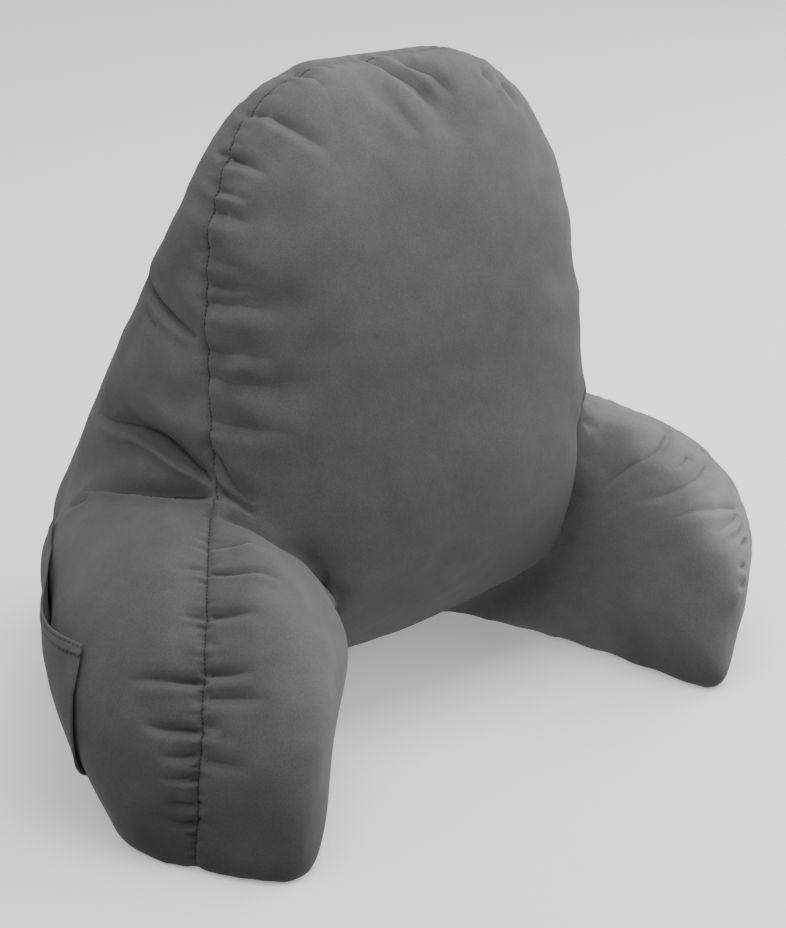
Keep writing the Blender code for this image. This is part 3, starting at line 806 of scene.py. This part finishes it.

# %% [markdown]
# ## Suede
# The cloth is a short-napped suede in charcoal grey. Brushed fibres lie in slightly different directions, so
# the colour drifts in soft clouds, and a fine grain shows close up. Noise on the object's own coordinates
# gives both. The noted lines darken the colour: as dashes where the stitches of a seam or hem lie, as painted
# shade along the seams' valleys, and as painted shade evenly deep in a fold's crease. The painted light and
# shade of the panels multiply the colour too. A little sheen catches the loose fibre ends at grazing angles,
# and nothing is glossy.

# %% Suede
LINE_EDGE = (0.2, 0.85)
STITCH_PITCH = 3.2
STITCH_GAP = 0.45
STITCH_EDGE = 0.4
NOISE_ENDS = (0.3, 0.7)
SEED_TURN = (1, 0.7, 1.3)
TONES = (
    # noise scale, detail, roughness, stretch, darkest and palest
    (9.0, 3.0, 0.55, (1, 1, 1.6), 0.90, 1.10),
    (55.0, 4.0, 0.6, (1, 1, 1), 0.93, 1.07),
    (900.0, 2.0, 0.6, (1, 1, 1), 0.86, 1.14),
)
BUMPS = (
    # noise scale, detail, roughness, strength and height in metres
    (620.0, 3.0, 0.6, 0.25, 0.0006),
    (38.0, 3.0, 0.5, 0.35, 0.002),
)
SURFACE = {
    "Roughness": 0.92, "Specular IOR Level": 0.15, "Sheen Weight": 0.12, "Sheen Roughness": 0.55,
    "Sheen Tint": (0.8, 0.8, 0.82, 1),
}


def suede(name, colour, seed):
    """Napped cloth: tones, stitch marks, painted light and shade, and fine bumps. The seed sets where its
    clouds lie.
    """
    item = bpy.data.materials.new(name)
    item.use_nodes = True
    tree = item.node_tree
    shader = tree.nodes["Principled BSDF"]
    place = tree.nodes.new("ShaderNodeTexCoord")

    def noise(scale, detail, roughness, stretch=(1, 1, 1)):
        mapping = tree.nodes.new("ShaderNodeMapping")
        mapping.inputs["Scale"].default_value = stretch
        mapping.inputs["Location"].default_value = [seed * turn for turn in SEED_TURN]
        texture = tree.nodes.new("ShaderNodeTexNoise")
        texture.inputs["Scale"].default_value = scale
        texture.inputs["Detail"].default_value = detail
        texture.inputs["Roughness"].default_value = roughness
        tree.links.new(place.outputs["Object"], mapping.inputs["Vector"])
        tree.links.new(mapping.outputs[0], texture.inputs["Vector"])
        return texture.outputs["Fac"]

    def multiplied(first, second):
        mix = tree.nodes.new("ShaderNodeMix")
        mix.data_type = "RGBA"
        mix.blend_type = "MULTIPLY"
        mix.inputs[0].default_value = 1.0
        for socket, value in ((mix.inputs[6], first), (mix.inputs[7], second)):
            if isinstance(value, tuple):
                socket.default_value = value
            else:
                tree.links.new(value, socket)
        return mix.outputs[2]

    def ramp(value, dark, light, low, high):
        item = tree.nodes.new("ShaderNodeMapRange")
        item.inputs["From Min"].default_value = low
        item.inputs["From Max"].default_value = high
        item.inputs["To Min"].default_value = dark
        item.inputs["To Max"].default_value = light
        tree.links.new(value, item.inputs["Value"])
        return item.outputs[0]

    def attribute(name):
        item = tree.nodes.new("ShaderNodeAttribute")
        item.attribute_name = name
        return item.outputs["Fac"]

    def maths(operation, *values):
        item = tree.nodes.new("ShaderNodeMath")
        item.operation = operation
        for socket, value in zip(item.inputs, values):
            if isinstance(value, float):
                socket.default_value = value
            else:
                tree.links.new(value, socket)
        return item.outputs[0]

    tone = colour
    for scale, detail, roughness, stretch, darkest, palest in TONES:
        tone = multiplied(tone, ramp(noise(scale, detail, roughness, stretch), darkest, palest, *NOISE_ENDS))
    side, dark, along, painted_light_and_shade = map(attribute, ("line_side", "stitches_and_painted_shade", "line_along", "painted_light_and_shade"))
    # Stitch dashes along seams and hems, and painted shade in the seams' valleys and the folds' creases.
    core = ramp(maths("ABSOLUTE", side), 1.0, 0.0, *LINE_EDGE)
    wave = maths("COSINE", maths("MULTIPLY", along, 2 * math.pi / STITCH_PITCH))
    dashes = ramp(wave, STITCH_GAP, 1.0, -STITCH_EDGE, STITCH_EDGE)
    kept = maths("SUBTRACT", 1.0, maths("MULTIPLY", maths("MULTIPLY", core, dashes), dark))
    # The painted light and shade of the panels multiply the colour as well.
    tone = multiplied(tone, maths("MULTIPLY", kept, painted_light_and_shade))
    tree.links.new(tone, shader.inputs["Base Color"])
    for socket, value in SURFACE.items():
        shader.inputs[socket].default_value = value
    normal = None
    for scale, detail, roughness, strength, rise in BUMPS:
        bump = tree.nodes.new("ShaderNodeBump")
        bump.inputs["Strength"].default_value = strength
        bump.inputs["Distance"].default_value = rise
        tree.links.new(noise(scale, detail, roughness), bump.inputs["Height"])
        if normal:
            tree.links.new(normal, bump.inputs["Normal"])
        normal = bump.outputs[0]
    tree.links.new(normal, shader.inputs["Normal"])
    return item


BODY_CHARCOAL = (0.105, 0.105, 0.107, 1)
POCKET_CHARCOAL = (0.098, 0.098, 0.100, 1)
BODY_SEED, POCKET_SEED = 0.0, 3.1
bag.data.materials.clear()
bag.data.materials.append(suede("charcoal_suede", BODY_CHARCOAL, BODY_SEED))
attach(bag, "root")
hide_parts("pillow_body")
print("bag dressed")

# %% [markdown]
# ## Side pocket
# The pocket is one patch of the same cloth, sewn flat to the left side along its ends and foot. Its mouth
# sags and is hemmed with two rows of stitches, and it gapes a little towards the front, so a dark line shows
# behind the hem. A grid is laid out in side view, with close rows at the hem, dropped onto the bag's surface,
# lifted where it gapes, and given its thickness. Its flat size was measured along the finished cloth.

# %% Side pocket
POCKET_FRONT = 0.003 + DRAWING_SHIFT.y
POCKET_SLANT = 0.013
POCKET_SLANT_FROM = 0.068
POCKET_FOOT_BACK = 0.035
POCKET_FRONT_LIFT = 0.0025
POCKET_REAR = 0.190 + DRAWING_SHIFT.y
POCKET_FRONT_TOP = 0.134
POCKET_REAR_TOP = 0.140
POCKET_FOOT = 0.014
POCKET_SAG = 0.006
POCKET_THICK = 0.0016
POCKET_REST = 0.0010
POCKET_GAPE = 0.0100
POCKET_HUGS_FROM = 0.80
HEM_WIDTH = 0.007
HEM_RISE = 0.0009
HEM_ROWS = (0.0, 0.9, 1.8, 2.8, 3.8, 4.8, 5.8, 6.5, 7.0, 7.6)
HEM_STITCHES = (1.8, 5.8)
HEM_DARK = 0.6
HEM_EDGE = 0.001
COLUMNS = 68
ROWS = 56
FAR_LEFT = -0.6
SLANT_CURVE, FOOT_CURVE = 2.5, 1.5
GAPE_START, GAPE_END_CURVE, GAPE_CLIMB_CURVE = 12, 3, 6
FRONT_LIFT_FADE = 20


def mouth_height(share):
    top = POCKET_FRONT_TOP + (POCKET_REAR_TOP - POCKET_FRONT_TOP) * share
    return top - POCKET_SAG * math.sin(math.pi * share)


def front_end(z):
    """Depth of the pocket's front end at a height. It leans back both towards the mouth and the foot."""
    above = max(0, (z - POCKET_SLANT_FROM) / (POCKET_FRONT_TOP - POCKET_SLANT_FROM))
    below = max(0, (POCKET_SLANT_FROM - z) / (POCKET_SLANT_FROM - POCKET_FOOT))
    return POCKET_FRONT + POCKET_SLANT * above ** SLANT_CURVE + POCKET_FOOT_BACK * below ** FOOT_CURVE


def side_surface(tree, y, z):
    """The bag's surface and its direction on the left side, at a depth and a height."""
    place, direction, _, _ = tree.ray_cast(Vector((FAR_LEFT, y, z)), Vector((1, 0, 0)))
    return place, direction


bag_tree = surface_tree(bag)
mesh = bpy.data.meshes.new("pocket_cloth")
work = bmesh.new()
bmesh.ops.create_grid(work, x_segments=COLUMNS, y_segments=ROWS, size=0.5)
layers = {name: work.verts.layers.float.new(name) for name in marks}
for vertex in work.verts:
    share, climb = vertex.co.x + 0.5, vertex.co.y + 0.5
    top = mouth_height(share)
    row = round((1 - climb) * ROWS)
    drop = HEM_ROWS[-1] * MM
    if row < len(HEM_ROWS):
        drop = HEM_ROWS[row] * MM
    else:
        drop += (top - POCKET_FOOT - drop) * (row - len(HEM_ROWS) + 1) / (ROWS - len(HEM_ROWS) + 1)
    z = top - drop
    climb = (z - POCKET_FOOT) / (top - POCKET_FOOT)
    vertex[layers["line_side"]] = min(abs(drop / MM - stitches) for stitches in HEM_STITCHES)
    vertex[layers["stitches_and_painted_shade"]] = HEM_DARK
    vertex[layers["line_along"]] = share * (POCKET_REAR - POCKET_FRONT) / MM
    vertex[layers["painted_light_and_shade"]] = 1.0
    front = front_end(z)
    y = front + (POCKET_REAR - front) * share
    place, direction = side_surface(bag_tree, y, z)
    ends = min(1, share * GAPE_START) * max(0, 1 - (share / POCKET_HUGS_FROM) ** GAPE_END_CURVE)
    lift = POCKET_REST + POCKET_GAPE * ends * climb ** GAPE_CLIMB_CURVE
    lift += POCKET_FRONT_LIFT * math.exp(-share * FRONT_LIFT_FADE)
    if top - z < HEM_WIDTH:
        lift += HEM_RISE * min(1, (HEM_WIDTH - (top - z)) / HEM_EDGE)
    vertex.co = place + direction * lift
work.normal_update()
if sum((face.normal.x for face in work.faces)) > 0:
    bmesh.ops.reverse_faces(work, faces=work.faces)
bmesh.ops.smooth_vert(work, verts=[v for v in work.verts if not v.is_boundary], factor=STEP_IN,
                      use_axis_x=True, use_axis_y=True, use_axis_z=True)
work.to_mesh(mesh)
work.free()
pocket = bpy.data.objects.new("pocket_cloth", mesh)
scene.collection.objects.link(pocket)
thick = pocket.modifiers.new("thickness", "SOLIDIFY")
thick.thickness = POCKET_THICK
thick.offset = 1.0
bake_modifiers(pocket)
pocket.data.shade_smooth()
pocket.data.materials.clear()
pocket.data.materials.append(suede("pocket_suede", POCKET_CHARCOAL, POCKET_SEED))
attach(pocket, "root")
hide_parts("side_pocket")
print("pocket faces", len(pocket.data.polygons))
